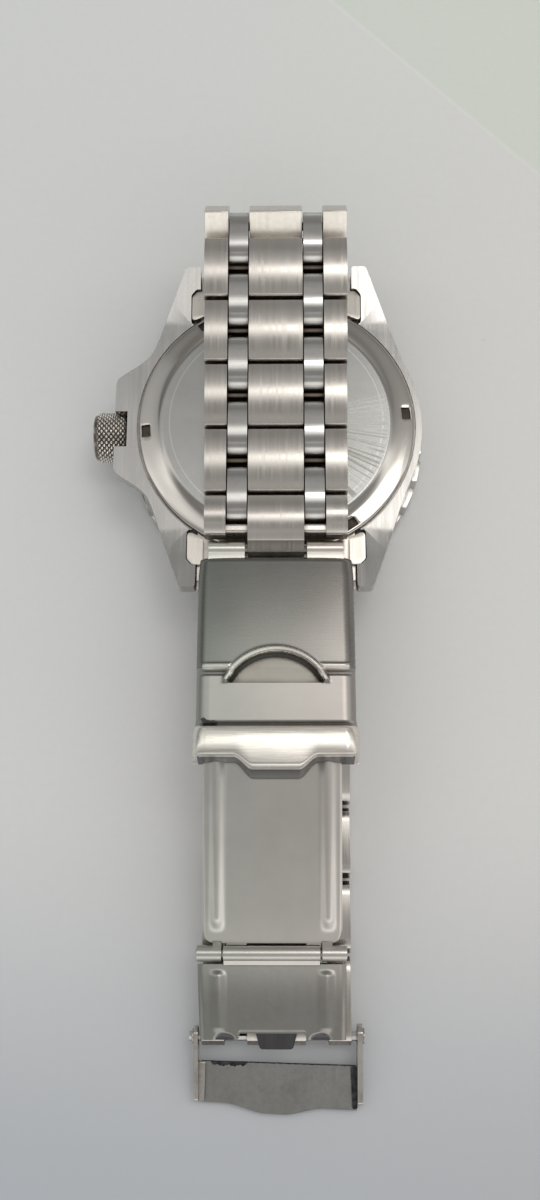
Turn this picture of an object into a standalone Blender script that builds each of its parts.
# Steel dive watch on a five-row bracelet with an open fold-over clasp.
#
# The watch lies face down: the flat crystal face is the plane z = 0, the case
# back points up (+Z), 12 o'clock points to +Y and the crown to -X.  The origin
# is the centre of the crystal's face, on the axis of the case.
# All dimensions below are millimetres; objects are written in metres.
#
# The 12 o'clock half of the bracelet folds back over the case back and carries
# the clasp; the 6 o'clock half lies on the table under the clasp.

import math

import bpy
import bmesh

MM = 0.001
ROUND = 40                      # segments round the case

# ---- driving dimensions (mm) ------------------------------------------------
LUG_GAP = 22.0                  # strap width between the lugs
LUG_TIP_Y = 24.4                # half of the lug-to-lug length
CASE_LOW, CASE_HIGH = 3.9, 10.6
BACK_TOP = 12.0                 # top of the case back
BEZEL_R = 21.3
CRYSTAL_R = 15.0
CROWN_Z = 6.0                   # height of the crown axis
CROWN_AXIS = (0.0, CROWN_Z)     # (y, z)
CROWN_R = 3.6

PITCH = 9.6                     # hinge to hinge along the bracelet
INSET = 2.55                    # pin to the end of an H-link
LINK_GAP = 0.4                  # between two H-links
PIN_TO_INNER = 1.6              # pin to the flat inner face
END_RISE, MID_RISE = 2.2, 2.85  # pin to the barrel face at the ends and in the middle
CENTRE_HALF = 3.75              # half width of the centre row
POLISHED_SPAN = (3.9, 6.55)     # |x| of a polished row
OUTER_ROW_X = 6.7               # inner side of the outer row
PIN_R, BORE_R = 0.6, 0.8

LINK_WIDTHS = [20.3, 20.1, 19.8, 19.5, 19.3, 19.1]    # tapering to the clasp
SPRING_BAR = (21.9, 8.9)        # (|y|, z)

# Downward slopes of the links towards -Y, in degrees.
LEAN_12 = 46.0                  # the first link at 12 o'clock rises towards +Y instead
SLOPES_12 = [1.5, 3.5, 3.5, 1.5, 0.0]
SLOPES_6 = [9.0, 13.0, 13.5, 0.0, 0.0, 0.0]

# Clasp joints, (y, z)
COVER_HINGE = (-19.9, 14.12)    # bracelet to cover
BLADE_HINGE = (-45.2, 13.7)     # cover to blade
PLATE_HINGE = (-71.8, 6.6)      # blade to end plate
FLAP_HINGE = (-82.0, 3.0)       # safety flap and last link, below the end plate
# Side play puts the blade and end plate off centre.
BLADE_X, BLADE_HALF = -0.5, 8.95
PLATE_X, PLATE_HALF = -0.6, 9.6


# ---- outlines ---------------------------------------------------------------
def polar(radius, angle):
    return (radius * math.cos(angle), radius * math.sin(angle))


def circle(radius, count, centre=(0.0, 0.0)):
    points = [polar(radius, 2 * math.pi * k / count) for k in range(count)]
    return [(centre[0] + a, centre[1] + b) for a, b in points]


def rectangle(a_low, b_low, a_high, b_high):
    return [(a_low, b_low), (a_high, b_low), (a_high, b_high), (a_low, b_high)]


def mirror(points, first, second=1):
    """Multiply the two coordinates by signs."""
    return [(first * a, second * b) for a, b in points]


def rotate(x, y, degrees):
    angle = math.radians(degrees)
    c, s = math.cos(angle), math.sin(angle)
    return (x * c - y * s, x * s + y * c)


def span(side, near, far, middle=0.0):
    """Low and high x of an interval on one side (+1 or -1) of the middle."""
    ends = (side * near, side * far)
    return middle + min(ends), middle + max(ends)


# ---- meshes: (vertices, faces) in millimetres -------------------------------
def place(axis, a, b, along):
    return (along, a, b) if axis == 'x' else (a, b, along)


def prism(outline, low, high, axis='x', holes=()):
    """Closed prism of a polygon with holes; axis x takes (y, z), z takes (x, y)."""
    bm = bmesh.new()
    edges = []
    loops = []
    for points in [outline] + list(holes):
        loop = [bm.verts.new((a, b, 0.0)) for a, b in points]
        loops.append(loop)
        edges += [bm.edges.new((loop[i], loop[(i + 1) % len(loop)])) for i in range(len(loop))]
    bmesh.ops.triangle_fill(bm, use_beauty=True, use_dissolve=False, edges=edges)
    bm.verts.index_update()
    count = len(bm.verts)
    flat = [(v.co.x, v.co.y) for v in bm.verts]
    verts = [place(axis, a, b, end) for end in (low, high) for a, b in flat]
    faces = []
    for face in bm.faces:
        ids = [v.index for v in face.verts]
        faces.append(ids[::-1])
        faces.append([i + count for i in ids])
    for loop in loops:
        ids = [v.index for v in loop]
        for a, b in zip(ids, ids[1:] + ids[:1]):
            faces.append([a, b, b + count, a + count])
    bm.free()
    return verts, faces


def lathe(profile, count=ROUND, axis='z', centre=(0.0, 0.0)):
    """Closed profile [(radius, along), ...] turned about an axis parallel to x or z."""
    verts, rings = [], []
    for radius, along in profile:
        if radius < 1e-6:
            rings.append([len(verts)])
            verts.append(place(axis, *centre, along))
            continue
        rings.append(list(range(len(verts), len(verts) + count)))
        verts += [place(axis, a, b, along) for a, b in circle(radius, count, centre)]
    faces = []
    for near, far in zip(rings, rings[1:] + rings[:1]):
        if len(near) == 1 and len(far) == 1:
            continue
        for k in range(count):
            k2 = (k + 1) % count
            if len(near) == 1:
                faces.append([near[0], far[k], far[k2]])
            elif len(far) == 1:
                faces.append([near[k], near[k2], far[0]])
            else:
                faces.append([near[k], near[k2], far[k2], far[k]])
    return verts, faces


def ring(inner, outer, low, high, count=ROUND, axis='z', centre=(0.0, 0.0)):
    """Turned ring of rectangular section; inner = 0 makes it solid."""
    return lathe(rectangle(inner, low, outer, high)[:1] + rectangle(inner, low, outer, high)[1:],
                 count, axis, centre)


def disc(radius, low, high, count=ROUND, bore=0.0):
    """Disc or pipe on the case axis."""
    holes = [circle(bore, 12)] if bore else []
    return prism(circle(radius, count), low, high, 'z', holes)


def rod(centre, radius, low, high, count=8):
    """Round bar along x."""
    return prism(circle(radius, count, centre), low, high)


def join(*meshes):
    verts, faces = [], []
    for more_verts, more_faces in meshes:
        offset = len(verts)
        verts += more_verts
        faces += [[i + offset for i in face] for face in more_faces]
    return verts, faces


def move(mesh, mapping):
    return [mapping(*v) for v in mesh[0]], mesh[1]


def temp_object(mesh):
    data = bpy.data.meshes.new('work')
    data.from_pydata(mesh[0], [], mesh[1])
    bm = bmesh.new()
    bm.from_mesh(data)
    bmesh.ops.recalc_face_normals(bm, faces=bm.faces[:])
    bm.to_mesh(data)
    bm.free()
    obj = bpy.data.objects.new('work', data)
    bpy.context.scene.collection.objects.link(obj)
    return obj


def combine(body, tool, operation):
    """Exact Boolean of two meshes, applied."""
    body_obj, tool_obj = temp_object(body), temp_object(tool)
    modifier = body_obj.modifiers.new('cut', 'BOOLEAN')
    modifier.operation = operation
    modifier.solver = 'EXACT'
    modifier.object = tool_obj
    depsgraph = bpy.context.evaluated_depsgraph_get()
    depsgraph.update()
    result = bpy.data.meshes.new_from_object(body_obj.evaluated_get(depsgraph))
    verts = [tuple(v.co) for v in result.vertices]
    faces = [list(p.vertices) for p in result.polygons]
    for obj in (body_obj, tool_obj):
        data = obj.data
        bpy.data.objects.remove(obj, do_unlink=True)
        bpy.data.meshes.remove(data)
    bpy.data.meshes.remove(result)
    return verts, faces


def minus(body, tool):
    return combine(body, tool, 'DIFFERENCE')


def plus(body, tool):
    return combine(body, tool, 'UNION')


def bored(body, hinge):
    """Cut a pin bore along x right through a clasp part."""
    return minus(body, rod(hinge, BORE_R, -12, 12))


# ---- materials and objects --------------------------------------------------
# slot: (base colour, roughness, metallic)
MATERIALS = {
    'brushed_steel': ((0.56, 0.55, 0.53), 0.38, 1.0),
    'polished_steel': ((0.62, 0.61, 0.59), 0.14, 1.0),
    'satin_steel': ((0.52, 0.51, 0.49), 0.45, 1.0),
    'worn_steel': ((0.36, 0.35, 0.33), 0.5, 1.0),
    'glass': ((0.85, 0.9, 0.9), 0.03, 0.0),
    'black_insert': ((0.02, 0.025, 0.035), 0.3, 0.2),
    'dial_black': ((0.015, 0.018, 0.03), 0.35, 0.0),
    'rubber': ((0.02, 0.02, 0.02), 0.75, 0.0),
    'brass': ((0.65, 0.52, 0.28), 0.35, 1.0),
    'holder_plastic': ((0.85, 0.84, 0.8), 0.5, 0.0),
    'circuit_green': ((0.05, 0.22, 0.1), 0.5, 0.0),
    'copper': ((0.72, 0.38, 0.2), 0.4, 1.0),
}


def material(slot):
    """The material of a slot, made on first use."""
    name = 'mat_' + slot
    mat = bpy.data.materials.get(name)
    if mat is None:
        color, roughness, metallic = MATERIALS[slot]
        mat = bpy.data.materials.new(name)
        mat.use_nodes = True
        shader = mat.node_tree.nodes['Principled BSDF']
        shader.inputs['Base Color'].default_value = (*color, 1.0)
        shader.inputs['Roughness'].default_value = roughness
        shader.inputs['Metallic'].default_value = metallic
        mat.diffuse_color = (*color, 1.0)
    return mat


def part(name, mesh, slot, hinge=(0.0, 0.0)):
    """One named object with its origin on its joint axis, given as (y, z)."""
    y0, z0 = hinge
    verts, faces = mesh
    data = bpy.data.meshes.new(name)
    data.from_pydata([(x * MM, (y - y0) * MM, (z - z0) * MM) for x, y, z in verts], [], faces)
    bm = bmesh.new()
    bm.from_mesh(data)
    bmesh.ops.remove_doubles(bm, verts=bm.verts[:], dist=1e-7)
    bmesh.ops.dissolve_degenerate(bm, edges=bm.edges[:], dist=1e-7)
    bmesh.ops.triangulate(bm, faces=[f for f in bm.faces if len(f.verts) > 4])
    bmesh.ops.recalc_face_normals(bm, faces=bm.faces[:])
    bm.to_mesh(data)
    bm.free()
    data.shade_smooth()
    data.set_sharp_from_angle(angle=math.radians(30))
    data.materials.append(material(slot))
    obj = bpy.data.objects.new(name, data)
    obj.location = (0.0, y0 * MM, z0 * MM)
    bpy.context.scene.collection.objects.link(obj)


# ---- case -------------------------------------------------------------------
# Plan (x, y) of the +X flank, from 3 mm past the case radius to the lug tip,
# and of the -X flank with its crown guard, from the lug tip to the crown.
FLANK = [(20.6, 0.0), (20.6, 1.4), (20.3, 3.8), (19.85, 5.8), (18.85, 8.4), (17.45, 11.8),
         (15.7, 17.2), (13.05, LUG_TIP_Y)]
GUARD_FLANK = [(-13.05, LUG_TIP_Y), (-15.7, 17.2), (-17.45, 11.8), (-18.7, 10.6),
               (-22.9, 8.0), (-22.9, 3.9), (-21.45, 3.9)]
LUG_ARC_R = 19.0                # case wall between the lugs

# Side view (y, z) of the case and its lugs, above and below.
CASE_UPPER = [(-LUG_TIP_Y - 1, 12.15), (-19.0, 11.05), (-15.6, CASE_HIGH),
              (15.6, CASE_HIGH), (19.0, 11.05), (LUG_TIP_Y + 1, 12.15)]
CASE_LOWER = [(LUG_TIP_Y + 1, 10.4), (22.6, 7.8), (18.5, 5.3), (13.0, CASE_LOW - 0.1),
              (-13.0, CASE_LOW - 0.1), (-18.5, 5.3), (-22.6, 7.8), (-LUG_TIP_Y - 1, 10.4)]

# Turned profiles (radius, z)
CAVITY = [(0, -1), (15.55, -1), (15.55, 3.0), (13.6, 3.0), (13.6, 4.4), (14.9, 4.4),
          (14.9, 9.0), (16.6, 9.0), (16.6, 10.0), (17.9, 10.0), (17.9, 11.5), (0, 11.5)]
CASE_BACK = [(0, 10.1), (14.6, 10.1), (14.6, 9.1), (16.35, 9.1), (16.35, 10.72),
             (19.45, 10.72), (19.45, 11.05), (19.2, 11.25), (17.4, 11.45), (16.2, 11.95),
             (16.0, BACK_TOP), (0, BACK_TOP)]

EAR_RECESS = [(10.6, 15.4), (12.35, 15.9), (12.35, 20.2), (11.6, 21.1), (10.6, 21.1)]  # (x, y)


def case_outline():
    """Plan outline of the mid-case with four lugs and the crown guards."""
    gap_x = LUG_GAP / 2
    start = math.acos(gap_x / LUG_ARC_R)
    arc = [polar(LUG_ARC_R, start + (math.pi - 2 * start) * k / 12) for k in range(13)]
    upper = FLANK + [(gap_x, LUG_TIP_Y)] + arc + [(-gap_x, LUG_TIP_Y)] + GUARD_FLANK
    lower = [(x, -y) for x, y in reversed(upper) if abs(y) > 1e-9]
    return upper + lower


def mid_case():
    body = prism(case_outline(), CASE_LOW, 12.6, 'z')
    body = combine(body, prism(CASE_UPPER + CASE_LOWER, -30, 30), 'INTERSECT')
    neck = ring(inner=14.0, outer=16.2, low=1.3, high=5.0)
    body = plus(body, neck)
    body = minus(body, lathe(CAVITY))
    # round seat for the case back's flange
    body = minus(body, ring(inner=0, outer=19.75, low=CASE_HIGH - 0.2, high=14.0))
    # ear recesses in the lugs' upper side and blind spring bar holes
    for end in (1, -1):
        for side in (1, -1):
            body = minus(body, prism(mirror(EAR_RECESS, side, end), 9.2, 13.0, 'z'))
            bar = (end * SPRING_BAR[0], SPRING_BAR[1])
            body = minus(body, rod(bar, 0.75, *span(side, 10.5, 12.2)))
    tube_bore = rod(CROWN_AXIS, 1.95, -24.0, -14.0, count=16)
    part('mid_case', minus(body, tube_bore), 'satin_steel')


def case_back():
    """Threaded spigot, bevelled ring with six wrench notches and a raised disc."""
    body = lathe(CASE_BACK)
    notch = rectangle(17.55, -1.1, 19.1, 1.1)
    for k in range(6):
        turned = [rotate(x, y, 4 + 60 * k) for x, y in notch]
        body = minus(body, prism(turned, 10.98, 13.0, 'z'))
    part('case_back', body, 'satin_steel')
    gasket = ring(inner=16.75, outer=17.7, low=10.05, high=10.6)
    part('case_back_gasket', gasket, 'rubber')


def crystal_and_dial():
    # flat outer face on z = 0 and a bevelled rim
    crystal = [(0, 0), (14.6, 0), (CRYSTAL_R, 0.35), (CRYSTAL_R, 2.9), (0, 2.9)]
    part('crystal', lathe(crystal), 'glass')
    part('crystal_gasket', ring(inner=15.06, outer=15.5, low=1.4, high=2.9), 'rubber')
    chapter = [(12.7, 4.3), (13.35, 3.1), (13.5, 3.1), (13.5, 4.3)]
    part('chapter_ring', lathe(chapter), 'dial_black')
    part('dial', disc(14.6, low=4.5, high=4.9, bore=1.5), 'dial_black')


def movement():
    battery_centre = (5.0, 3.2)
    coil_window = rectangle(-8, -7, 0.5, -4)
    circuit = [(-9.5, -2.5), (-3.2, -3.4), (0.2, -3.4), (0.2, 8.6), (-4.5, 8.9), (-8.4, 5.0)]

    holder = ring(inner=11.3, outer=14.6, low=5.0, high=8.8)
    holder = minus(holder, rod(CROWN_AXIS, 0.95, -16, -9))
    part('movement_holder', holder, 'holder_plastic')
    plate = prism(circle(11.0, ROUND), 7.05, 8.5, 'z',
                  [circle(4.2, 20, battery_centre), coil_window])
    part('movement_plate', plate, 'brass')
    part('battery', prism(circle(3.95, 20, battery_centre), 7.0, 8.6, 'z'), 'polished_steel')
    part('drive_coil', prism(rectangle(-7.6, -6.6, 0.1, -4.4), 7.1, 8.45, 'z'), 'copper')
    part('circuit_block', prism(circuit, 8.65, 8.95, 'z'), 'circuit_green')


def crown_tube():
    profile = [(1.0, -24.3), (1.6, -24.3), (1.6, -21.6), (1.85, -21.6), (1.85, -15.4),
               (1.0, -15.4)]    # (radius, x)
    part('crown_tube', lathe(profile, 16, 'x', CROWN_AXIS), 'polished_steel')


def end_link(tag, end):
    """Fitted end link: curved to the case wall, three bars round the spring bar."""
    half = 10.85
    wall_r = 19.2
    back_y = 20.1
    low, high = 6.4, 10.4
    xs = [half - 2 * half * k / 12 for k in range(13)]
    wall = [(x, math.sqrt(wall_r * wall_r - x * x)) for x in xs]
    plan = [(half, back_y)] + wall + [(-half, back_y)]
    core = prism(mirror(plan, 1, end), low, high, 'z')

    tip_y = SPRING_BAR[0] + INSET
    profile = [(19.6, low), (22.2, 6.5), (23.9, 6.9), (tip_y, 7.5), (tip_y, 9.1),
               (tip_y - 0.4, 9.9), (tip_y - 1.3, high), (19.6, high)]
    bar_hole = circle(BORE_R, 8, (end * SPRING_BAR[0], SPRING_BAR[1]))
    body = plus(core, three_bars(mirror(profile, end), half, [bar_hole]))
    ear = [(10.05, 17.25), (12.0, 16.25), (12.0, 20.0), (11.35, 20.75), (10.05, 20.75)]
    for side in (1, -1):
        body = plus(body, prism(mirror(ear, side, end), 9.5, 11.0, 'z'))
    part('end_link_' + tag, body, 'brushed_steel')


def spring_bar(tag, end):
    axis = (end * SPRING_BAR[0], SPRING_BAR[1])
    part('spring_bar_' + tag, rod(axis, 0.55, -12.0, 12.0), 'polished_steel', axis)


def bezel():
    tooth_count = 30
    root_r = 20.35
    # (degrees from the tooth's middle, radius)
    tooth = [(-4.2, BEZEL_R), (0.0, BEZEL_R), (4.2, BEZEL_R), (5.0, root_r), (7.0, root_r)]
    rim = [polar(radius, 2 * math.pi * k / tooth_count + math.radians(degrees))
           for k in range(tooth_count) for degrees, radius in tooth]
    body = prism(rim, 0.4, 3.55, 'z', [circle(16.5, ROUND)])
    insert_seat = ring(inner=16.9, outer=19.5, low=-0.5, high=1.0)
    spring_groove = ring(inner=16.3, outer=17.5, low=2.9, high=4.0, count=32)
    body = minus(minus(body, insert_seat), spring_groove)
    part('bezel', body, 'polished_steel')
    insert = ring(inner=16.95, outer=19.45, low=0.35, high=0.92)
    part('bezel_insert', insert, 'black_insert')


def click_spring():
    """Open flat ring in the bezel's groove, with its gap towards +X."""
    angles = [math.radians(degrees) for degrees in range(20, 341, 16)]
    outer = [polar(17.35, angle) for angle in angles]
    inner = [polar(16.75, angle) for angle in reversed(angles)]
    part('bezel_click_spring', prism(outer + inner, 3.0, 3.5, 'z'), 'polished_steel')


def crown():
    """Skirted, knurled knob; its gasket rides on the tube and its stem runs inwards."""
    count = 24
    knurl_depth = 0.22
    profile = [(0, -25.1), (2.3, -25.1), (2.3, -21.75), (3.3, -21.75), (CROWN_R, -22.0),
               (CROWN_R, -25.8), (3.1, -26.25), (0, -26.25)]    # (radius, x)

    def knurl(x, y, z):
        """Sink every second vertex of the rim."""
        rise = z - CROWN_Z
        radius = math.hypot(y, rise)
        if radius <= 3.5:
            return (x, y, z)
        k = round(math.atan2(rise, y) / (2 * math.pi / count))
        factor = (CROWN_R if k % 2 == 0 else CROWN_R - knurl_depth) / radius
        return (x, y * factor, rise * factor + CROWN_Z)

    knob = move(lathe(profile, count, 'x', CROWN_AXIS), knurl)
    part('crown', knob, 'polished_steel', CROWN_AXIS)
    gasket = ring(1.68, 2.22, -24.2, -23.4, count=16, axis='x', centre=CROWN_AXIS)
    part('crown_gasket', gasket, 'rubber', CROWN_AXIS)
    stem = ring(0, 0.7, -25.0, -10.2, count=10, axis='x', centre=CROWN_AXIS)
    part('winding_stem', stem, 'polished_steel', CROWN_AXIS)


# ---- hands and their wheels -------------------------------------------------
def hand(name, length, tail, width, low, high, hub_r, bore, degrees):
    """Pointed hand with a round hub, turned from +Y by the given angle."""
    half = width / 2
    outline = [(half, -tail), (half, length - width), (0, length), (-half, length - width),
               (-half, -tail)]
    body = plus(prism(outline, low, high, 'z'), disc(hub_r, low, high, 16))
    if bore:
        body = minus(body, disc(bore, low - 1, high + 1, 12))
    body = move(body, lambda x, y, z: (*rotate(x, y, degrees), z))
    part(name, body, 'polished_steel')


def wheel(name, radius, teeth, low, high, bore, pipe):
    """Toothed wheel joined to the pipe or arbor that carries its hand."""
    root_r = radius - 0.25
    # (fraction of the tooth pitch, radius)
    tooth = [(-0.3, root_r), (-0.14, radius), (0.14, radius), (0.3, root_r)]
    rim = [polar(tooth_r, 2 * math.pi * k / teeth + fraction * 2 * math.pi / teeth)
           for k in range(teeth) for fraction, tooth_r in tooth]
    holes = [circle(bore, 12)] if bore else []
    part(name, plus(prism(rim, low, high, 'z', holes), pipe), 'brass')


def hands_and_wheels():
    hour_bore = 0.98
    centre_bore = 0.55
    hand('hour_hand', length=7.4, tail=1.6, width=1.5, low=4.0, high=4.2,
         hub_r=1.4, bore=hour_bore, degrees=-60)
    hand('minute_hand', length=11.2, tail=2.0, width=1.2, low=3.6, high=3.8,
         hub_r=1.1, bore=0.58, degrees=60)
    hand('seconds_hand', length=12.0, tail=3.6, width=0.4, low=3.2, high=3.36,
         hub_r=0.7, bore=0.0, degrees=165)
    wheel('hour_wheel', radius=3.2, teeth=12, low=5.15, high=5.45, bore=hour_bore,
          pipe=disc(1.25, low=4.24, high=5.3, count=12, bore=hour_bore))
    wheel('centre_wheel', radius=3.8, teeth=12, low=5.6, high=5.9, bore=centre_bore,
          pipe=disc(0.86, low=3.84, high=5.75, count=12, bore=centre_bore))
    wheel('seconds_wheel', radius=2.9, teeth=10, low=6.2, high=6.5, bore=0.0,
          pipe=disc(0.4, low=3.4, high=6.35, count=8))


# ---- bracelet ---------------------------------------------------------------
# Links are drawn in link space (x, along, out): along runs from the link's
# hinge to the next one, out points to the outer face of the bracelet.
LINK_NEAR = INSET + LINK_GAP        # near end of an H-link
NEAR_PIN = LINK_NEAR + INSET
LINK_FAR = PITCH + INSET            # far end
NEAR_HOLE = circle(BORE_R, 6, (NEAR_PIN, 0))

# Lower near corner of an H-link and its near end, (along, out)
NEAR_END = [(LINK_NEAR + 1.9, -PIN_TO_INNER), (LINK_NEAR + 0.65, -1.15), (LINK_NEAR, 0.1),
            (LINK_NEAR, END_RISE - 0.35)]

# Side view of a polished piece, rounded about its two pins, (along, out)
POLISHED_END = 1.25                 # pin to the end of the piece
POLISHED = [(-POLISHED_END, 0.4), (-0.8, 1.45), (0.4, 2.15), (NEAR_PIN / 2, 2.5),
            (NEAR_PIN - 0.4, 2.15), (NEAR_PIN + 0.8, 1.45), (NEAR_PIN + POLISHED_END, 0.4),
            (NEAR_PIN + POLISHED_END, -0.4), (NEAR_PIN + 0.5, -1.3), (-0.5, -1.3),
            (-POLISHED_END, -0.4)]


def barrel(far):
    """Outer face of a bar that ends at far."""
    middle = (LINK_NEAR + far) / 2
    half = (far - LINK_NEAR) / 2 - 0.3
    stations = [-1 + 2 * k / 4 for k in range(5)]
    return [(middle + t * half, END_RISE + (MID_RISE - END_RISE) * (1 - t * t))
            for t in stations]


def bar_profile(far=LINK_FAR):
    """Side view of one bar of an H-link: barrel outer face, flat inner face."""
    far_end = [(far, END_RISE - 0.35), (far, 0.1), (far - 0.65, -1.15),
               (far - 1.9, -PIN_TO_INNER)]
    return barrel(far) + far_end + NEAR_END


def three_bars(profile, half_width, holes):
    spans = ((-half_width, -OUTER_ROW_X), (-CENTRE_HALF, CENTRE_HALF),
             (OUTER_ROW_X, half_width))
    return join(*[prism(profile, low, high, 'x', holes) for low, high in spans])


def crossbar(*corners):
    """Bar across the rows, reaching into both outer ones."""
    reach = OUTER_ROW_X + 0.6
    return prism(rectangle(*corners), -reach, reach)


def h_link(half_width):
    holes = [NEAR_HOLE, circle(BORE_R, 6, (PITCH, 0))]
    bars = three_bars(bar_profile(), half_width, holes)
    return plus(bars, crossbar(7.05, 0.25, 7.7, 1.6))


def cover_link(half_width, pin):
    """Clasp-end link: side blocks and a centre tongue round the cover pin."""
    along, out = pin
    block = bar_profile(along - 1.45)
    left = prism(block, -half_width, -OUTER_ROW_X, 'x', [NEAR_HOLE])
    right = prism(block, OUTER_ROW_X, half_width, 'x', [NEAR_HOLE])
    tip = [(along + 0.5, out + 1.0), (along + 1.1, out), (along + 0.6, out - 0.9),
           (along - 0.4, out - 1.15), (along - 2.0, -PIN_TO_INNER)]
    tongue = prism(barrel(along - 0.4) + tip + NEAR_END, -CENTRE_HALF, CENTRE_HALF, 'x',
                   [NEAR_HOLE, circle(BORE_R, 8, pin)])
    return plus(join(left, tongue, right), crossbar(7.1, -1.1, 8.35, 1.9))


def flap_link(half_width, pin):
    """Last link: carries the pin of the safety flap."""
    holes = [NEAR_HOLE, circle(BORE_R, 8, pin)]
    bars = three_bars(bar_profile(pin[0] + 1.15), half_width, holes)
    return plus(bars, crossbar(7.1, -0.9, 9.6, 1.6))


def polished_pair(index):
    """Two polished pieces with their pins; the first pair turns on the spring bar."""
    holes = [circle(BORE_R, 6)] if index == 0 else []
    pieces = [prism(POLISHED, *span(side, *POLISHED_SPAN), 'x', holes) for side in (-1, 1)]
    reach = LINK_WIDTHS[index] / 2 - 0.5
    pins = [rod((NEAR_PIN, 0), PIN_R, -reach, reach, count=6)]
    if index > 0:
        reach = LINK_WIDTHS[index - 1] / 2 - 0.5
        pins.append(rod((0, 0), PIN_R, -reach, reach, count=6))
    return plus(join(*pieces), join(*pins))


def link_to_world(hinge, heading, outward):
    """Mapping of link space; outward (+1 or -1) picks the side of the outer face."""
    y0, z0 = hinge
    dy, dz = heading
    out_y, out_z = -dz * outward, dy * outward
    return lambda x, along, out: (x, y0 + along * dy + out * out_y,
                                  z0 + along * dz + out * out_z)


def descending(slopes):
    """Headings (y, z) towards -Y, falling by the given degrees."""
    angles = [math.radians(slope) for slope in slopes]
    return [(-math.cos(angle), -math.sin(angle)) for angle in angles]


def bracelet(side, start, headings, outward, clasp_hinge, last_link):
    """Six links from the spring bar at start to the clasp joint in the last one."""
    hinges = [start]
    for dy, dz in headings[:-1]:
        y, z = hinges[-1]
        hinges.append((y + PITCH * dy, z + PITCH * dz))
    # the last link is level, so the joint's place in it is a plain difference
    last_y, last_z = hinges[-1]
    pin = (last_y - clasp_hinge[0], -outward * (clasp_hinge[1] - last_z))
    for i, (hinge, heading) in enumerate(zip(hinges, headings)):
        to_world = link_to_world(hinge, heading, outward)
        half_width = LINK_WIDTHS[i] / 2
        is_last = i == len(headings) - 1
        link = last_link(half_width, pin) if is_last else h_link(half_width)
        part('s%d_link_%d' % (side, i + 1), move(link, to_world), 'brushed_steel', hinge)
        pair = polished_pair(i)
        part('s%d_mid_%d' % (side, i + 1), move(pair, to_world), 'polished_steel', hinge)


# ---- clasp ------------------------------------------------------------------
COVER_HALF = 10.6
COVER_WALL = 0.85

# Side view (y, z) of the cover's upper face from the hinge to the free end, and its lower edge
COVER_TOP = [(-21.3, 14.9), (-22.3, 15.5), (-26.0, 16.0), (-31.0, 16.35), (-36.2, 16.5),
             (-36.9, 16.35), (-37.1, 15.75), (-43.4, 15.75), (-43.6, 15.75), (-44.4, 16.1),
             (-45.4, 16.75), (-46.9, 16.8), (-47.9, 16.3), (-48.4, 15.5), (-48.4, 14.2)]
COVER_EDGE = [(-48.4, 12.6), (-40.0, 12.0), (-24.0, 12.3), (-21.3, 13.6)]


def clasp_cover():
    """Pressed shell, open below, with a thumb tab and two hinge knuckles."""
    inside_half = COVER_HALF - COVER_WALL
    ceiling = [(y, z - COVER_WALL) for y, z in COVER_TOP[2:12]]
    inside = ([(-22.2, 10.0), (-22.2, 14.6)] + ceiling
              + [(-47.5, 14.6), (-47.5, 13.95), (-49.5, 13.95), (-49.5, 10.0)])
    cover = minus(prism(COVER_TOP + COVER_EDGE, -COVER_HALF, COVER_HALF),
                  prism(inside, -inside_half, inside_half))
    tab = [(-4.6, -48.0), (-3.5, -50.2), (3.5, -50.2), (4.6, -48.0)]    # (x, y)
    cover = plus(cover, prism(tab, 14.0, 15.1, 'z'))
    web = [(-20.2, 13.2), (-22.6, 13.3), (-22.6, 14.9), (-20.4, 15.2)]
    for side in (1, -1):
        knuckle_span = span(side, 4.15, 9.0)
        cover = plus(cover, rod(COVER_HINGE, 1.15, *knuckle_span, count=12))
        cover = plus(cover, prism(web, *knuckle_span))
    cover = bored(bored(cover, COVER_HINGE), BLADE_HINGE)
    part('clasp_cover', cover, 'satin_steel', COVER_HINGE)


def hinge_pin(name, hinge, low, high):
    part(name, rod(hinge, PIN_R, low, high), 'polished_steel', hinge)


# Blade and end plate share their sheet and the knuckles of their common hinge.
SHEET_HALF = 0.4                # half of the sheet thickness
KNUCKLE_R = 1.0
KNUCKLE_CLEARANCE_R = 1.3


def sheet_top(start, end, steps, bulge):
    """Upper face from start to end, raised above the chord by bulge(fraction)."""
    top = []
    for k in range(steps + 1):
        t = k / steps
        y = start[0] + (end[0] - start[0]) * t
        z = start[1] + (end[1] - start[1]) * t + bulge(t)
        top.append((y, z + SHEET_HALF))
    return top


def sheet(top, low, high):
    bottom = [(y, z - 2 * SHEET_HALF) for y, z in reversed(top)]
    return prism(top + bottom, low, high)


def rib(top, height, low, high):
    """Raised rib along a sheet, short of both ends."""
    line = top[1:-1]
    upper = [(y, z + height) for y, z in line]
    lower = [(y, z - 0.2) for y, z in reversed(line)]
    return prism(upper + lower, low, high)


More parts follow.
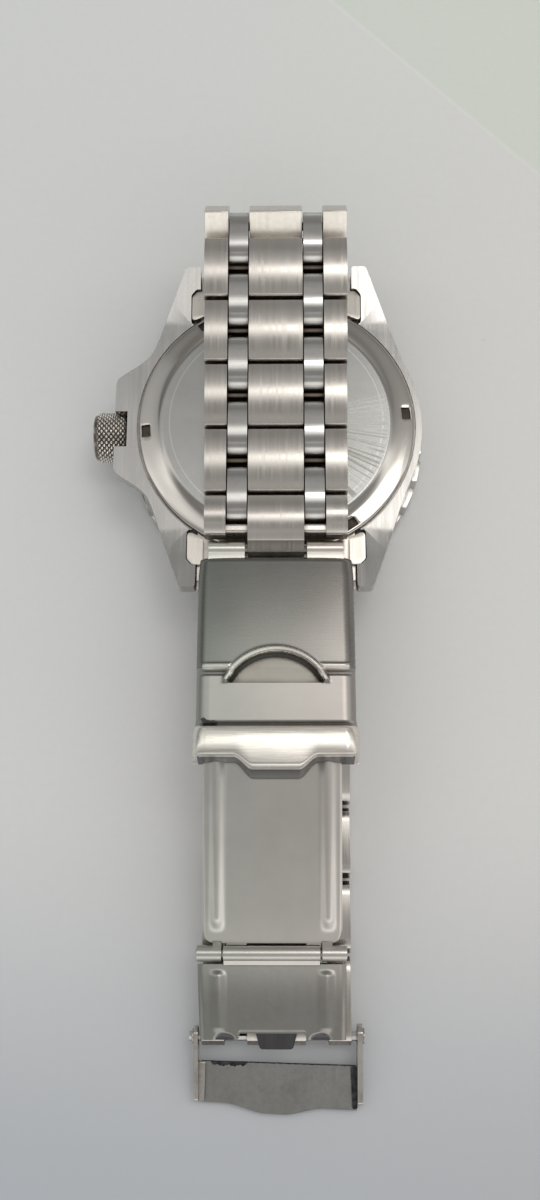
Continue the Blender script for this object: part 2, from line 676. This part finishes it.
def clasp_blade():
    """Arched sheet with two long ribs, an eye and pin at the cover, outer knuckles."""
    low, high = BLADE_X - BLADE_HALF, BLADE_X + BLADE_HALF
    knuckle_gap = 6.45
    top = sheet_top(start=(BLADE_HINGE[0] - 0.2, BLADE_HINGE[1] - 0.45),
                    end=(PLATE_HINGE[0] + 0.25, PLATE_HINGE[1] - 0.5),
                    steps=8, bulge=lambda t: 0.55 * 4 * t * (1 - t))
    blade = sheet(top, low, high)
    for side in (1, -1):
        blade = plus(blade, rib(top, 0.35, *span(side, 6.1, 8.1, BLADE_X)))
    blade = plus(blade, rod(BLADE_HINGE, KNUCKLE_R, low, high, count=10))
    blade = plus(blade, rod(BLADE_HINGE, PIN_R, -10.3, 10.3))
    blade = minus(blade, rod(PLATE_HINGE, KNUCKLE_CLEARANCE_R, PLATE_X - knuckle_gap,
                             PLATE_X + knuckle_gap, count=12))
    for side in (1, -1):
        knuckle_span = span(side, knuckle_gap, PLATE_HALF, PLATE_X)
        blade = plus(blade, rod(PLATE_HINGE, KNUCKLE_R, *knuckle_span, count=12))
    part('clasp_blade', bored(blade, PLATE_HINGE), 'satin_steel', BLADE_HINGE)


def clasp_end_plate():
    """Ribbed sheet with a centre knuckle, ending just above the last link's pin."""
    knuckle_half = 6.2
    top = sheet_top(start=(PLATE_HINGE[0] - 0.3, PLATE_HINGE[1] - 0.55),
                    end=(FLAP_HINGE[0] - 0.3, FLAP_HINGE[1] + 2.4),
                    steps=4, bulge=lambda t: 0.3 * math.sin(math.pi * t))
    plate = sheet(top, PLATE_X - PLATE_HALF, PLATE_X + PLATE_HALF)
    for side in (1, -1):
        plate = plus(plate, rib(top, 0.3, *span(side, 6.0, 8.1, PLATE_X)))
        clear_span = span(side, knuckle_half, 9.9, PLATE_X)
        plate = minus(plate, rod(PLATE_HINGE, KNUCKLE_CLEARANCE_R, *clear_span, count=12))
    plate = plus(plate, rod(PLATE_HINGE, KNUCKLE_R, PLATE_X - knuckle_half,
                            PLATE_X + knuckle_half, count=12))
    plate = bored(plate, PLATE_HINGE)
    tongue = [(-2.7, -81.6), (2.7, -81.6), (2.1, -84.0), (-2.1, -84.0)]    # (x, y)
    plate = plus(plate, prism(tongue, 5.05, 5.7, 'z'))
    part('clasp_end_plate', plate, 'satin_steel', PLATE_HINGE)


def safety_flap():
    """Two arms on the last link's pin and a lipped plate between them."""
    y, z = FLAP_HINGE
    low = 0.5
    arm = [(y + 1.3, z + 0.5), (y + 0.5, z + 1.3), (y - 0.8, z + 1.1), (-90.2, 2.1),
           (-90.2, low), (-83.8, low), (y + 0.9, z - 1.0)]
    hole = circle(BORE_R, 8, FLAP_HINGE)
    arms = join(*[prism(arm, *span(side, 10.3, 11.0), 'x', [hole]) for side in (1, -1)])

    half, near_y, far_y = 10.7, -84.8, -90.1
    lip_half, lip_reach = 6.5, 1.4
    lip = []
    for k in range(11):
        x = lip_half - 2 * lip_half * k / 10
        bulge = lip_reach * math.cos(math.pi * x / (2 * lip_half)) ** 2
        lip.append((x, far_y - bulge))
    plan = [(-half, near_y), (half, near_y), (half, far_y)] + lip + [(-half, far_y)]
    flap = plus(arms, prism(plan, low, 1.15, 'z'))
    part('safety_flap', flap, 'worn_steel', FLAP_HINGE)


# ---- assembly ---------------------------------------------------------------
def clear_scene():
    for obj in list(bpy.data.objects):
        bpy.data.objects.remove(obj, do_unlink=True)


def build_head():
    mid_case()
    case_back()
    crystal_and_dial()
    movement()
    crown_tube()
    for tag, end in (('12', 1), ('6', -1)):
        end_link(tag, end)
        spring_bar(tag, end)
    bezel()
    click_spring()
    crown()
    hands_and_wheels()


def build_bracelet():
    lean = math.radians(LEAN_12)
    bracelet(1, start=SPRING_BAR,
             headings=[(math.cos(lean), math.sin(lean))] + descending(SLOPES_12),
             outward=-1, clasp_hinge=COVER_HINGE, last_link=cover_link)
    bracelet(2, start=(-SPRING_BAR[0], SPRING_BAR[1]), headings=descending(SLOPES_6),
             outward=1, clasp_hinge=FLAP_HINGE, last_link=flap_link)


def build_clasp():
    clasp_cover()
    hinge_pin('cover_pin', COVER_HINGE, -8.9, 8.9)
    clasp_blade()
    pin_half = PLATE_HALF + 0.1
    hinge_pin('blade_pin', PLATE_HINGE, PLATE_X - pin_half, PLATE_X + pin_half)
    clasp_end_plate()
    safety_flap()
    hinge_pin('flap_pin', FLAP_HINGE, -11.2, 11.2)


clear_scene()
build_head()
build_bracelet()
build_clasp()
